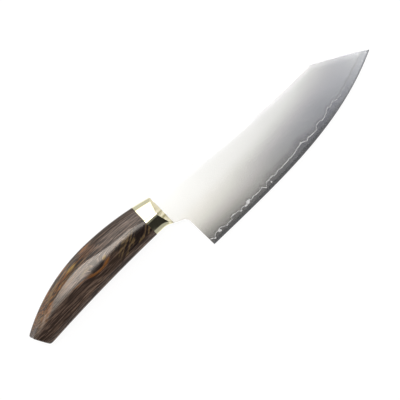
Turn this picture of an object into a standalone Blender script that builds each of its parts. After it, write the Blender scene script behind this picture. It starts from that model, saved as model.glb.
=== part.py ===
# A kitchen knife with a three-layer steel blade, a clipped tip, a brass bolster and a wooden handle.
# It lies on its left side: X runs toward the tip, Y toward the spine and Z up, in metres.
# Every piece is drawn from the heel corner of the cutting edge, in the middle plane of the blade, and hangs
# from one empty that puts the middle of the knife over the origin, with the handle resting at Z = 0.
import math

import bmesh
import bpy
from mathutils import Vector

# Blade outline
EDGE_LENGTH = 0.165
EDGE_RISE = 0.0223
EDGE_SWEEP_POWER = 3.6
SPINE_HEIGHT = 0.0429
SPINE_LEVEL_LENGTH = 0.013
CLIP_LENGTH = 0.037
CLIP_BULGE = 0.0005
CLIP_CORNER_RADIUS = 0.005
HEEL_LEAN = math.radians(2.2)
NECK_SLOPE = math.radians(24)
NECK_RADIUS = 0.0045

# Blade thickness and grind
STOCK_THICKNESS = 0.0020
CLIP_THICKNESS = 0.0013
CORE_THICKNESS = 0.0006
GRIND_HEIGHT = 0.030
EDGE_BEVEL_HEIGHT = 0.0008
EDGE_BEVEL_THICKNESS = 0.00024

# Line where the ground-away cladding ends
CLADDING_LIP = 0.00004
LINE_WAVE = 0.00050
LINE_RIPPLE = 0.00035
LINE_WAVE_LENGTH = 0.026
LINE_RIPPLE_LENGTH = 0.009
LINE_STEP = 0.00015
LIP_BLEND_HEIGHT = 0.007

# Hidden tang
TANG_ROOT_HEIGHT = 0.013
TANG_END_HEIGHT = 0.008
TANG_COVER = 0.028

# Bolster
BOLSTER_SETBACK = 0.0097
BOLSTER_LENGTH = 0.0133
BOLSTER_THICKNESS = 0.0160
BOLSTER_FRONT_WIDTH = 0.0044
BOLSTER_CHAMFER_LENGTH = 0.0039
BOLSTER_FLARE_DEPTH = 0.0024
BOLSTER_FLARE_LENGTH = 0.0075

# Handle outline
HANDLE_LENGTH = 0.1096
HANDLE_CREST_HEIGHT = 0.060
HANDLE_CREST_DISTANCE = 0.041
BACK_RADIUS_FRONT = 0.215
BACK_RADIUS_REAR = 0.1365
KNUCKLE_HEIGHT = 0.0312
BELLY_RADIUS = 1.28
BUTT_SLANT = math.radians(28)
BUTT_EDGE_RADIUS = 0.0011

# Handle cross-section
HANDLE_THICKNESS = 0.0204
HANDLE_SWELL_DISTANCE = 0.052
BUTT_THICKNESS = 0.0172
BACK_WIDTH = 0.0046
BELLY_WIDTH = 0.0050
CORNER_BEVEL = 0.0025
CREASE_SHARE_FRONT = 0.447
CREASE_SHARE_BUTT = 0.595
CREASE_RISE_DISTANCE = 0.055
PALM_FACET_SHARE_FRONT = 0.14
PALM_FACET_SHARE_BUTT = 0.80
PALM_FACET_OPENING_LENGTH = 0.082
PALM_FACET_LEAN = math.radians(3)
CREASE_RADIUS = 0.0007

# Resin between the tang and the handle's bore
BEDDING_SIDE = 0.0020
BEDDING_EDGE = 0.0020
BEDDING_END = 0.0020

# Clearances: a bonded joint, and the much thinner weld between the layers of a 2 mm blade
JOINT_GAP = 0.0003
WELD_GAP = 0.00002

# Fineness of the curved shapes
BLADE_PITCH = 0.0020
HANDLE_PITCH = 0.0045
BOLSTER_PITCH = 0.0012
ARC_STEPS = 6
CREASE_STEPS = 2
SHARP_ANGLE = math.radians(12)

# The largest share of a straight side that one rounded corner takes, and of a section that a bevel takes
ROUNDING_LIMIT = 0.45
BEVEL_LIMIT = 0.25

# Finishes: colour, roughness, metallic
CORE_STEEL = ((0.35, 0.35, 0.37), 0.35, 1.0)
CLADDING_STEEL = ((0.55, 0.56, 0.57), 0.28, 1.0)
BRASS = ((0.82, 0.66, 0.36), 0.12, 1.0)
WOOD = ((0.075, 0.045, 0.032), 0.22, 0.0)
RESIN = ((0.60, 0.50, 0.33), 0.40, 0.0)
CUTTER_GREY = ((0.8, 0.8, 0.8), 0.5, 0.0)

# Places that follow from the sizes above
CLIP_START = EDGE_LENGTH - CLIP_LENGTH
SPINE_LEVEL_START = CLIP_START - SPINE_LEVEL_LENGTH
BOLSTER_FRONT = -BOLSTER_SETBACK
SHOULDER_X = BOLSTER_FRONT + JOINT_GAP
BOLSTER_BACK = BOLSTER_FRONT - BOLSTER_LENGTH
HANDLE_FRONT = BOLSTER_BACK - JOINT_GAP
BUTT_X = BOLSTER_BACK - HANDLE_LENGTH
CREST_X = BOLSTER_BACK - HANDLE_CREST_DISTANCE
SWELL_X = BOLSTER_BACK - HANDLE_SWELL_DISTANCE
CREASE_RISE_X = BOLSTER_BACK - CREASE_RISE_DISTANCE
BORE_END_X = BUTT_X + TANG_COVER
TANG_END_X = BORE_END_X + BEDDING_END


# Outline curves

def arc_drop(run, radius):
    """How far a circle of this radius falls away from its crest after a run along the tangent."""
    return radius - math.sqrt(max(radius * radius - run * run, 0.0))


def back_height(x):
    radius = BACK_RADIUS_FRONT if x > CREST_X else BACK_RADIUS_REAR
    return HANDLE_CREST_HEIGHT - arc_drop(x - CREST_X, radius)


def belly_height(x):
    if x <= BOLSTER_BACK:
        return KNUCKLE_HEIGHT - arc_drop(BOLSTER_BACK - x, BELLY_RADIUS)
    into_flare = max(x - (BOLSTER_FRONT - BOLSTER_FLARE_LENGTH), 0.0)
    return KNUCKLE_HEIGHT - BOLSTER_FLARE_DEPTH * (into_flare / BOLSTER_FLARE_LENGTH) ** 2


def edge_height(x):
    return EDGE_RISE * (max(x, 0.0) / EDGE_LENGTH) ** EDGE_SWEEP_POWER


def spine_height(x):
    """The spine leaves the bolster flush and sinks in a long hollow curve to its level front part."""
    drop = back_height(BOLSTER_FRONT) - SPINE_HEIGHT
    share = max(SPINE_LEVEL_START - x, 0.0) / (SPINE_LEVEL_START - SHOULDER_X)
    return SPINE_HEIGHT + drop * share ** 2


def tang_middle():
    return (back_height(BOLSTER_FRONT) + belly_height(BOLSTER_FRONT)) / 2


def tang_half_height(x):
    """Even through the bolster, then narrowing to the end."""
    share = max(BOLSTER_BACK - x, 0.0) / (BOLSTER_BACK - TANG_END_X)
    return (TANG_ROOT_HEIGHT + (TANG_END_HEIGHT - TANG_ROOT_HEIGHT) * share) / 2


def rounded_corner(before, corner, after, radius, steps):
    """Points of the arc that rounds a corner of a 2D outline, from one straight side to the other."""
    to_before = (before - corner).normalized()
    to_after = (after - corner).normalized()
    half_angle = to_before.angle(to_after) / 2
    reach = radius / math.tan(half_angle)
    shorter_side = min((before - corner).length, (after - corner).length)
    reach = min(reach, ROUNDING_LIMIT * shorter_side)
    radius = reach * math.tan(half_angle)
    centre = corner + (to_before + to_after).normalized() * (radius / math.sin(half_angle))
    start = corner + to_before * reach - centre
    turn = start.angle_signed(corner + to_after * reach - centre)
    points = []
    for step in range(steps + 1):
        angle = -turn * step / steps
        cos, sin = math.cos(angle), math.sin(angle)
        points.append(centre + Vector((start.x * cos - start.y * sin, start.x * sin + start.y * cos)))
    return points


# Blade faces, as half thickness above the middle plane

def flat_half(x):
    """The flats keep the stock's thickness behind the heel and thin evenly from there toward the clip."""
    taper = (STOCK_THICKNESS - CLIP_THICKNESS) / 2 / CLIP_START
    return STOCK_THICKNESS / 2 - taper * max(x, 0.0)


def ground_half(x, height):
    """The finished face at a height above the edge: the edge's bevel, a convex grind, then the flat."""
    bevel_half = EDGE_BEVEL_THICKNESS / 2
    if height <= EDGE_BEVEL_HEIGHT:
        return bevel_half * height / EDGE_BEVEL_HEIGHT
    below_flat = max(GRIND_HEIGHT - height, 0.0) / (GRIND_HEIGHT - EDGE_BEVEL_HEIGHT)
    return flat_half(x) - (flat_half(x) - bevel_half) * below_flat ** 2


def line_level(x):
    """Height above the edge at which the grind reaches the core's own thickness."""
    through_cladding = flat_half(x) - CORE_THICKNESS / 2
    ground_away = flat_half(x) - EDGE_BEVEL_THICKNESS / 2
    return GRIND_HEIGHT - (GRIND_HEIGHT - EDGE_BEVEL_HEIGHT) * math.sqrt(through_cladding / ground_away)


def line_height(x):
    """The cladding ends there in a wavy line, because forging leaves the layers a little uneven."""
    wave = LINE_WAVE * math.sin(2 * math.pi * x / LINE_WAVE_LENGTH)
    ripple = LINE_RIPPLE * math.sin(2 * math.pi * x / LINE_RIPPLE_LENGTH)
    return line_level(x) + wave + ripple


def core_under_lip(x):
    return ground_half(x, line_height(x) + LINE_STEP) - CLADDING_LIP - WELD_GAP


def core_section(x):
    """Right half of the core, from the edge up, as (height above the edge, half thickness)."""
    line = line_height(x)
    return [
        (0.0, 0.0),
        (EDGE_BEVEL_HEIGHT, ground_half(x, EDGE_BEVEL_HEIGHT)),
        (line, ground_half(x, line)),
        (line + LINE_STEP, core_under_lip(x)),
        (line_level(x) + LIP_BLEND_HEIGHT, CORE_THICKNESS / 2),
        (stock_top(), CORE_THICKNESS / 2),
    ]


def cladding_section(x):
    """Whole loop of the right cladding: up its outer face, down its inner face on the core."""
    lip = line_height(x) + LINE_STEP
    blend_end = line_level(x) + LIP_BLEND_HEIGHT
    middle_grind = (blend_end + GRIND_HEIGHT) / 2
    outer = [(height, ground_half(x, height)) for height in (lip, blend_end, middle_grind)]
    outer += [(GRIND_HEIGHT, flat_half(x)), (stock_top(), flat_half(x))]
    inner_half = CORE_THICKNESS / 2 + WELD_GAP
    inner = [(stock_top(), inner_half), (blend_end, inner_half), (lip, core_under_lip(x) + WELD_GAP)]
    return outer + inner


def stock_top():
    """Height of the uncut sheet above the edge, clear of the spine everywhere."""
    return HANDLE_CREST_HEIGHT + EDGE_RISE


def blade_stations():
    """Sections of the uncut sheet: tang and neck are plain, the blade has one every pitch, past the tip."""
    past_tip = EDGE_LENGTH + 2 * BLADE_PITCH
    count = math.ceil(past_tip / BLADE_PITCH)
    stations = [TANG_END_X - BLADE_PITCH, BOLSTER_FRONT / 2]
    return stations + [past_tip * index / count for index in range(count + 1)]


# Blank outline

def neck_outline():
    """From the bolster's lower corner along the underside of the neck and round into the heel."""
    corner_y = belly_height(BOLSTER_FRONT)
    start = Vector((SHOULDER_X, corner_y))
    heel_shift = math.tan(HEEL_LEAN)
    neck_fall = math.tan(NECK_SLOPE)
    meet_y = (corner_y + neck_fall * SHOULDER_X) / (1 - neck_fall * heel_shift)
    meet = Vector((-heel_shift * meet_y, meet_y))
    below_heel = Vector((heel_shift * EDGE_RISE, -EDGE_RISE))
    return [start] + rounded_corner(start, meet, below_heel, NECK_RADIUS, ARC_STEPS) + [below_heel]


def clip_outline():
    """From far below the tip, up through it along the slightly bulged clip to the rounded corner."""
    tip = Vector((EDGE_LENGTH, EDGE_RISE))
    corner = Vector((CLIP_START, SPINE_HEIGHT))
    along = corner - tip
    outward = Vector((along.y, -along.x)).normalized()
    below_tip = tip - along * (2 * EDGE_RISE / along.y)
    bulged = []
    for step in range(-1, ARC_STEPS):
        share = step / ARC_STEPS
        bulged.append(tip + along * share + outward * (4 * CLIP_BULGE * share * (1 - share)))
    before_corner = bulged[-1]
    level = Vector((SPINE_LEVEL_START, SPINE_HEIGHT))
    return [below_tip] + bulged + rounded_corner(before_corner, corner, level, CLIP_CORNER_RADIUS, ARC_STEPS)


def spine_outline():
    run = SPINE_LEVEL_START - SHOULDER_X
    places = [SPINE_LEVEL_START - run * step / (2 * ARC_STEPS) for step in range(2 * ARC_STEPS + 1)]
    return [Vector((x, spine_height(x))) for x in places]


def tang_outline(room=0.0):
    """Upper root, rounded end and lower root of the tang, enlarged on all sides by the room."""
    middle = tang_middle()
    root = TANG_ROOT_HEIGHT / 2 + room
    end = TANG_END_HEIGHT / 2 + room
    end_x = TANG_END_X - room
    points = [Vector((SHOULDER_X, middle + root)), Vector((BOLSTER_BACK, middle + root))]
    for step in range(2 * ARC_STEPS + 1):
        angle = math.pi / 2 + math.pi * step / (2 * ARC_STEPS)
        points.append(Vector((end_x + end * (1 + math.cos(angle)), middle + end * math.sin(angle))))
    return points + [Vector((BOLSTER_BACK, middle - root)), Vector((SHOULDER_X, middle - root))]


def blank_outline():
    """The whole blade and tang, left open well below the cutting edge, which the grind forms by itself."""
    outline = clip_outline() + spine_outline()
    outline += tang_outline() + neck_outline()
    return outline


# Mesh building

def make_piece(name, mesh_builder, finish):
    """A new object in the scene with its own material, hung from the knife's empty."""
    colour, roughness, metallic = finish
    mesh = bpy.data.meshes.new(name)
    mesh_builder.to_mesh(mesh)
    mesh_builder.free()
    piece = bpy.data.objects.new(name, mesh)
    bpy.context.scene.collection.objects.link(piece)
    piece.parent = knife
    material = bpy.data.materials.new(name)
    material.use_nodes = True
    shader = material.node_tree.nodes["Principled BSDF"]
    shader.inputs["Base Color"].default_value = (*colour, 1.0)
    shader.inputs["Roughness"].default_value = roughness
    shader.inputs["Metallic"].default_value = metallic
    mesh.materials.append(material)
    return piece


def make_cutter(name, mesh_builder):
    cutter = make_piece(name, mesh_builder, CUTTER_GREY)
    cutter.hide_render = True
    cutter.display_type = "WIRE"
    return cutter


def cut(piece, cutter, operation):
    modifier = piece.modifiers.new(cutter.name, "BOOLEAN")
    modifier.operation = operation
    modifier.solver = "EXACT"
    modifier.object = cutter


def loft(sections):
    """A closed solid through sections that have the same number of points, with flat ends.

    The triangles' diagonals always climb toward the tip, so two layers that face each other fold alike.
    """
    bm = bmesh.new()
    rings = [[bm.verts.new(point) for point in section] for section in sections]
    count = len(rings[0])
    for ring, following in zip(rings, rings[1:]):
        for index in range(count):
            after = (index + 1) % count
            low, high = (index, after) if ring[index].co.y <= ring[after].co.y else (after, index)
            bm.faces.new((ring[low], following[low], following[high]))
            bm.faces.new((ring[low], following[high], ring[high]))
    bm.faces.new(rings[0])
    bm.faces.new(rings[-1])
    bmesh.ops.recalc_face_normals(bm, faces=bm.faces)
    return bm


def prism(outline, half_depth):
    """A flat outline in X and Y, standing through the middle plane by its half depth on both sides."""
    return loft([[(point.x, point.y, side * half_depth) for point in outline] for side in (-1, 1)])


def shade(piece):
    piece.data.shade_smooth()
    piece.data.set_sharp_from_angle(angle=SHARP_ANGLE)


# Blade pieces

def blade_layer(section, side):
    """A layer of the uncut sheet: its section, swept along the edge, on the right (1) or left (-1) side."""
    sections = []
    for x in blade_stations():
        points = [(x, edge_height(x) + height, side * half) for height, half in section(x)]
        sections.append(points)
    return loft(sections)


def whole_core_section(x):
    right = core_section(x)
    left = [(height, -half) for height, half in reversed(right[1:])]
    return right + left


def build_blade():
    blank = make_cutter("blank_profile", prism(blank_outline(), 2 * STOCK_THICKNESS))
    core = make_piece("blade_core", blade_layer(whole_core_section, 1), CORE_STEEL)
    cladding_right = make_piece("cladding_right", blade_layer(cladding_section, 1), CLADDING_STEEL)
    cladding_left = make_piece("cladding_left", blade_layer(cladding_section, -1), CLADDING_STEEL)
    for layer in (core, cladding_right, cladding_left):
        cut(layer, blank, "INTERSECT")


# Bolster and handle

def half_thickness(x):
    """Thickest at the swell, thinning forward to the bolster's front and back to the butt."""
    if x > SWELL_X:
        loss = (HANDLE_THICKNESS - BOLSTER_THICKNESS) / 2
        share = (x - SWELL_X) / (BOLSTER_FRONT - SWELL_X)
    else:
        loss = (HANDLE_THICKNESS - BUTT_THICKNESS) / 2
        share = (SWELL_X - x) / (SWELL_X - BUTT_X)
    return HANDLE_THICKNESS / 2 - loss * share ** 2


def lower_crease_share(x):
    """The crease below the palm facet, as a share of the section: level, then rising toward the butt."""
    share = max(CREASE_RISE_X - x, 0.0) / (CREASE_RISE_X - BUTT_X)
    return CREASE_SHARE_FRONT + (CREASE_SHARE_BUTT - CREASE_SHARE_FRONT) * (1 - (1 - share) ** 2)


def palm_facet_share(x):
    """The facet along each side, as a share of the room over it: a ridge that opens out to the butt."""
    share = min(max((BOLSTER_BACK - x) / PALM_FACET_OPENING_LENGTH, 0.0), 1.0)
    opened = share * share * (3 - 2 * share)
    return PALM_FACET_SHARE_FRONT + (PALM_FACET_SHARE_BUTT - PALM_FACET_SHARE_FRONT) * opened


def handle_half_section(x):
    """Corners of the right half from back to belly, as (height, half thickness), each one rounded."""
    top, bottom, thick = back_height(x), belly_height(x), half_thickness(x)
    scale = 2 * thick / BOLSTER_THICKNESS
    bevel = min(CORNER_BEVEL * scale, BEVEL_LIMIT * (top - bottom))
    lower_crease = bottom + lower_crease_share(x) * (top - bottom)
    facet_share = palm_facet_share(x)
    facet = facet_share * (top - bevel - lower_crease)
    facet_half = thick - facet * math.tan(PALM_FACET_LEAN)
    back_half = BACK_WIDTH / 2 * scale
    belly_half = BELLY_WIDTH / 2 * scale
    bevel_half = back_half + bevel
    bevel_half += (facet_half - bevel_half) * facet_share ** 3  # it moves out where the facet nears it
    corners = [
        Vector((top, -back_half)),
        Vector((top, back_half)),
        Vector((top - bevel, bevel_half)),
        Vector((lower_crease + facet, facet_half)),
        Vector((lower_crease, thick)),
        Vector((bottom + bevel, belly_half + bevel)),
        Vector((bottom, belly_half)),
        Vector((bottom, -belly_half)),
    ]
    points = []
    for before, corner, after in zip(corners, corners[1:], corners[2:]):
        points += rounded_corner(before, corner, after, CREASE_RADIUS, CREASE_STEPS)
    return points


def handle_section(x):
    right = [(x, point.x, point.y) for point in handle_half_section(x)]
    left = [(x, height, -half) for _, height, half in reversed(right)]
    return right + left


def between(start, end, pitch):
    """Evenly spaced places from start to end, about a pitch apart."""
    count = max(math.ceil(abs(end - start) / pitch), 1)
    return [start + (end - start) * index / count for index in range(count + 1)]


def trim(bm, point, normal):
    """Cuts off what lies beyond a plane and closes the cut with a flat face."""
    everything = bm.verts[:] + bm.edges[:] + bm.faces[:]
    result = bmesh.ops.bisect_plane(bm, geom=everything, plane_co=point, plane_no=normal, clear_outer=True)
    rim = [item for item in result["geom_cut"] if isinstance(item, bmesh.types.BMEdge)]
    bmesh.ops.contextual_create(bm, geom=rim)


def build_bolster():
    bm = loft([handle_section(x) for x in between(BOLSTER_BACK, BOLSTER_FRONT, BOLSTER_PITCH)])
    rise = (BOLSTER_THICKNESS - BOLSTER_FRONT_WIDTH) / 2
    for side in (1, -1):
        trim(bm, (BOLSTER_FRONT, 0, side * BOLSTER_FRONT_WIDTH / 2), (rise, 0, side * BOLSTER_CHAMFER_LENGTH))
    bmesh.ops.recalc_face_normals(bm, faces=bm.faces)
    bolster = make_piece("bolster", bm, BRASS)
    slot = make_cutter("bolster_slot", bolster_slot())
    cut(bolster, slot, "DIFFERENCE")
    shade(bolster)


def bolster_slot():
    """A slot straight through the bolster, a joint's gap larger than the tang's root all round."""
    half_height = TANG_ROOT_HEIGHT / 2 + JOINT_GAP
    low, high = tang_middle() - half_height, tang_middle() + half_height
    front, back = BOLSTER_FRONT + BOLSTER_LENGTH, BOLSTER_BACK - BOLSTER_LENGTH
    outline = [Vector((back, low)), Vector((front, low)), Vector((front, high)), Vector((back, high))]
    return prism(outline, STOCK_THICKNESS / 2 + JOINT_GAP)


def bore_section(x, tang_x, shrink):
    """An upright slot with round ends, as tall as the tang at tang_x needs, less a shrink on all sides."""
    half_width = STOCK_THICKNESS / 2 + BEDDING_SIDE
    straight = tang_half_height(tang_x) + BEDDING_EDGE - half_width
    radius = half_width - shrink
    points = []
    for end in (1, -1):
        for step in range(ARC_STEPS + 1):
            angle = math.pi * step / ARC_STEPS
            y = tang_middle() + end * (straight + radius * math.sin(angle))
            points.append((x, y, end * radius * math.cos(angle)))
    return points


def slanted_section(top_x, slant, inset=0.0, passes=8):
    """The handle's surface on a leaning plane through the back at top_x, drawn in by the inset."""
    top = back_height(top_x)
    right = []
    for index in range(len(handle_half_section(top_x))):
        x = top_x
        for _ in range(passes):
            point = handle_half_section(x)[index]
            x = top_x + math.tan(slant) * (top - point.x)
        right.append((point.x, point.y))
    middle = (right[0][0] + right[-1][0]) / 2
    half_height = (right[0][0] - right[-1][0]) / 2
    half_width = max(half for _, half in right)
    right = [
        (middle + (height - middle) * (1 - inset / half_height), half * (1 - inset / half_width))
        for height, half in right
    ]
    left = [(height, -half) for height, half in reversed(right)]
    return [(top_x + math.tan(slant) * (top - height), height, half) for height, half in right + left]


def handle_stations():
    """Upright at the bolster, leaning more and more toward the butt, then rounded over into its flat end."""
    rounding_start = BUTT_X + BUTT_EDGE_RADIUS / math.cos(BUTT_SLANT)
    sections = []
    for x in between(HANDLE_FRONT, rounding_start, HANDLE_PITCH):
        share = (HANDLE_FRONT - x) / (HANDLE_FRONT - rounding_start)
        sections.append(slanted_section(x, BUTT_SLANT * share ** 2))
    steps = ARC_STEPS // 2
    for step in range(1, steps + 1):
        angle = math.pi / 2 * step / steps
        x = rounding_start + (BUTT_X - rounding_start) * math.sin(angle)
        sections.append(slanted_section(x, BUTT_SLANT, BUTT_EDGE_RADIUS * (1 - math.cos(angle))))
    return sections


def build_handle():
    handle = make_piece("handle", loft(handle_stations()), WOOD)
    ends = ((BORE_END_X, TANG_END_X), (HANDLE_FRONT, BOLSTER_BACK), (BOLSTER_FRONT, BOLSTER_BACK))
    bore = loft([bore_section(x, tang_x, 0.0) for x, tang_x in ends])
    cut(handle, make_cutter("handle_bore", bore), "DIFFERENCE")
    shade(handle)


def build_bedding():
    """Cured resin that fills the bore and wraps the tang, open at the front where the tang goes in."""
    ends = ((BORE_END_X + JOINT_GAP, TANG_END_X), (HANDLE_FRONT, BOLSTER_BACK))
    filling = loft([bore_section(x, tang_x, JOINT_GAP) for x, tang_x in ends])
    bedding = make_piece("tang_bedding", filling, RESIN)
    cavity = prism(tang_outline(JOINT_GAP), STOCK_THICKNESS / 2 + JOINT_GAP)
    cut(bedding, make_cutter("tang_cavity", cavity), "DIFFERENCE")


for leftover in list(bpy.data.objects):
    bpy.data.objects.remove(leftover)

knife = bpy.data.objects.new("knife", None)
knife.location = (-(EDGE_LENGTH + BUTT_X) / 2, -HANDLE_CREST_HEIGHT / 2, HANDLE_THICKNESS / 2)
bpy.context.scene.collection.objects.link(knife)

build_blade()
build_bolster()
build_handle()
build_bedding()
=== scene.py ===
import math

import bmesh
import bpy
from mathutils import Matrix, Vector, noise


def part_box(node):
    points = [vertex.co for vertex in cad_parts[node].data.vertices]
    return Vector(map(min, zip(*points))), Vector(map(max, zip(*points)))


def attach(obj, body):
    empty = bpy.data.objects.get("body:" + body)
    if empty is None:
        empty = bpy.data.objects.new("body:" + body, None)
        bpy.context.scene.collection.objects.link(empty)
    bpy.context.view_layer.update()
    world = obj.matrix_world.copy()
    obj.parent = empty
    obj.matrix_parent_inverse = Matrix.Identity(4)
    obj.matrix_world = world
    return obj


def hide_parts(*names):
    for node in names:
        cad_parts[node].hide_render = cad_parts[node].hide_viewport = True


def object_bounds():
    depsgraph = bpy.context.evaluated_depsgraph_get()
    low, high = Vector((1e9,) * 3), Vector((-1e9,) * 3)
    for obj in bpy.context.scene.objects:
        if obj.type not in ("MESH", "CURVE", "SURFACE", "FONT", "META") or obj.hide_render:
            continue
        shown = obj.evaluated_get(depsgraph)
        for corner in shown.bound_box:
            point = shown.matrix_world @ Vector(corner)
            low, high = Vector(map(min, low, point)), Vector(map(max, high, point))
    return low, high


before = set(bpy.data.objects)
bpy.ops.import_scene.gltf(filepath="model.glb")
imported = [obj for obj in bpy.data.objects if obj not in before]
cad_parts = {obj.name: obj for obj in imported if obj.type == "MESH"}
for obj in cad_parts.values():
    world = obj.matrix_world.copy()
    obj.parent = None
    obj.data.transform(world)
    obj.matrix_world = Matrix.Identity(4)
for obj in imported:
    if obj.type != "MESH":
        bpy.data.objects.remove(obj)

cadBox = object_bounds()
scene = bpy.context.scene
print("frame loaded")

# The knife lies on its left side: X runs to the tip, Y to the spine, Z up, all in metres.
# Every piece is drawn from the heel corner of the cutting edge, in the blade's middle plane,
# and then moved there.
coreLow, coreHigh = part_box("blade_core")
bolsterLow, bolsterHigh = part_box("bolster")
handleLow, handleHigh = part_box("handle")
bolsterSetback = 0.0097  # from the bolster's front to the heel
handleLength = 0.1096
jointGap = 0.0003
heel = Vector((bolsterHigh.x + bolsterSetback, coreLow.y, (bolsterLow.z + bolsterHigh.z) / 2))
edgeLength = coreHigh.x - heel.x
bolsterFront = bolsterHigh.x - heel.x
bolsterBack = bolsterLow.x - heel.x
buttX = bolsterBack - handleLength
shoulder = bolsterFront + jointGap  # where the blade comes out of the bolster


# Selecting and finishing by operator

def startFresh():
    if bpy.context.mode != "OBJECT":
        bpy.ops.object.mode_set(mode="OBJECT")
    bpy.ops.object.select_all(action="DESELECT")


def nameNew(name):
    piece = bpy.context.object
    piece.name = name
    piece.data.name = name
    return piece


def openEdit(kind="VERT"):
    bpy.ops.object.mode_set(mode="EDIT")
    bpy.ops.mesh.select_mode(type=kind)


# In edit mode, selects just the edges, or else the verts, that pass the test
def pick(test, kind="edges"):
    data = bpy.context.edit_object.data
    mesh = bmesh.from_edit_mesh(data)
    for item in [*mesh.verts, *mesh.edges, *mesh.faces]:
        item.select = False
    for item in getattr(mesh, kind):
        if test(item):
            item.select_set(True)
    mesh.select_flush_mode()
    bmesh.update_edit_mesh(data)


def closeEdit():
    bpy.ops.object.mode_set(mode="OBJECT")


def makeActive(piece):
    startFresh()
    piece.select_set(True)
    bpy.context.view_layer.objects.active = piece


# Adds a modifier, sets it and applies it at once
def addModifier(piece, kind, **settings):
    makeActive(piece)
    bpy.ops.object.modifier_add(type=kind)
    modifier = piece.modifiers[-1]
    for key, value in settings.items():
        setattr(modifier, key, value)
    bpy.ops.object.modifier_apply(modifier=modifier.name)


def cutAway(piece, cutter):
    addModifier(piece, "BOOLEAN", operation="DIFFERENCE", solver="EXACT", object=cutter)
    bpy.data.objects.remove(cutter)


def mergeClose(piece):
    makeActive(piece)
    openEdit()
    bpy.ops.mesh.select_all(action="SELECT")
    bpy.ops.mesh.remove_doubles(threshold=1e-6)
    bpy.ops.mesh.normals_make_consistent(inside=False)
    # A thin wavy slab can come out turned round
    if bmesh.from_edit_mesh(piece.data).calc_volume(signed=True) < 0:
        bpy.ops.mesh.flip_normals()
    closeEdit()


def settle(piece, nodes, material, smoothAngle):
    makeActive(piece)
    piece.location = heel
    bpy.ops.object.transform_apply(location=True, rotation=True, scale=True)
    bpy.ops.object.shade_smooth_by_angle(angle=math.radians(smoothAngle))
    piece.data.materials.clear()
    piece.data.materials.append(material)
    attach(piece, "root")
    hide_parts(*nodes)
    print("made", piece.name, len(piece.data.polygons), "faces")


# Shader building

# Links a socket to another, or sets its value
def feed(tree, socket, value):
    if isinstance(value, bpy.types.NodeSocket):
        tree.links.new(value, socket)
    else:
        socket.default_value = value


def addNode(tree, kind, inputs=None, **settings):
    node = tree.nodes.new("ShaderNode" + kind)
    for key, value in settings.items():
        setattr(node, key, value)
    for key, value in (inputs or {}).items():
        feed(tree, node.inputs[key], value)
    return node


def doMath(tree, operation, *values):
    node = addNode(tree, "Math", operation=operation)
    for socket, value in zip(node.inputs, values):
        feed(tree, socket, value)
    return node.outputs[0]


def plus(tree, first, second):
    return doMath(tree, "ADD", first, second)


def times(tree, first, *others):
    for other in others:
        first = doMath(tree, "MULTIPLY", first, other)
    return first


def vectorMath(tree, operation, first, second):
    return addNode(tree, "VectorMath", {0: first, 1: second}, operation=operation).outputs[0]


def axes(tree, vector):
    return addNode(tree, "SeparateXYZ", {0: vector}).outputs


def addNoise(tree, vector, scale, detail, roughness=0.5):
    inputs = {"Vector": vector, "Scale": scale, "Detail": detail, "Roughness": roughness}
    return addNode(tree, "TexNoise", inputs).outputs[0]


# A smooth step from one value to another, while the input runs from low to high
def remap(tree, value, low, high, toLow=0.0, toHigh=1.0):
    inputs = {"Value": value, "From Min": low, "From Max": high, "To Min": toLow, "To Max": toHigh}
    return addNode(tree, "MapRange", inputs, interpolation_type="SMOOTHSTEP").outputs["Result"]


def mixColours(tree, share, first, second):
    node = addNode(tree, "Mix", data_type="RGBA")
    for index, value in ((0, share), (6, first), (7, second)):
        feed(tree, node.inputs[index], (*value, 1.0) if isinstance(value, tuple) else value)
    return node.outputs[2]


# Object coordinates in millimetres from the heel corner
def heelCoordinates(tree):
    place = addNode(tree, "TexCoord").outputs["Object"]
    inputs = {"Vector": place, "Location": tuple(-1000.0 * heel), "Scale": (1000.0,) * 3}
    return addNode(tree, "Mapping", inputs).outputs[0]


def newMaterial(name, sockets):
    material = bpy.data.materials.new(name)
    material.use_nodes = True
    shader = material.node_tree.nodes["Principled BSDF"]
    for key, value in sockets.items():
        feed(material.node_tree, shader.inputs[key], value)
    return material, material.node_tree, shader


# A node group whose inputs are given as name and default, where None stands for a vector
def newGroup(name, inputs, outputs):
    group = bpy.data.node_groups.new(name, "ShaderNodeTree")
    for socketName, value in inputs.items():
        kind = "NodeSocketVector" if value is None else "NodeSocketFloat"
        socket = group.interface.new_socket(socketName, in_out="INPUT", socket_type=kind)
        if value is not None:
            socket.default_value = value
    for socketName in outputs:
        group.interface.new_socket(socketName, in_out="OUTPUT", socket_type="NodeSocketFloat")
    start = group.nodes.new("NodeGroupInput")
    end = group.nodes.new("NodeGroupOutput")
    return group, start.outputs, end.inputs


def useGroup(tree, group, **inputs):
    return addNode(tree, "Group", inputs, node_tree=group).outputs


# Feeds a shader its colour, its roughness and a relief, given as height, strength and distance
def dress(tree, shader, colour, roughness, *relief):
    feed(tree, shader.inputs["Base Color"], colour)
    feed(tree, shader.inputs["Roughness"], roughness)
    if relief:
        inputs = dict(zip(("Height", "Strength", "Distance"), relief))
        feed(tree, shader.inputs["Normal"], addNode(tree, "Bump", inputs).outputs[0])


# Fine parallel grinding lines, as left by a belt or a stone
def makeGrindLines():
    inputs = {"Vector": None, "Fineness": 6.0, "Run": 0.05}
    group, start, end = newGroup("grindLines", inputs, ["Height", "Streaks"])
    split = axes(group, start["Vector"])
    across = times(group, split["X"], start["Fineness"])
    along = times(group, split["Y"], start["Run"])
    lined = addNode(group, "CombineXYZ", {0: across, 1: along, 2: split["Z"]}).outputs[0]
    feed(group, end["Height"], addNoise(group, lined, 1.0, 3.0, 0.7))
    feed(group, end["Streaks"], remap(group, addNoise(group, lined, 0.22, 2.0), 0.3, 0.7))
    return group


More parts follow.
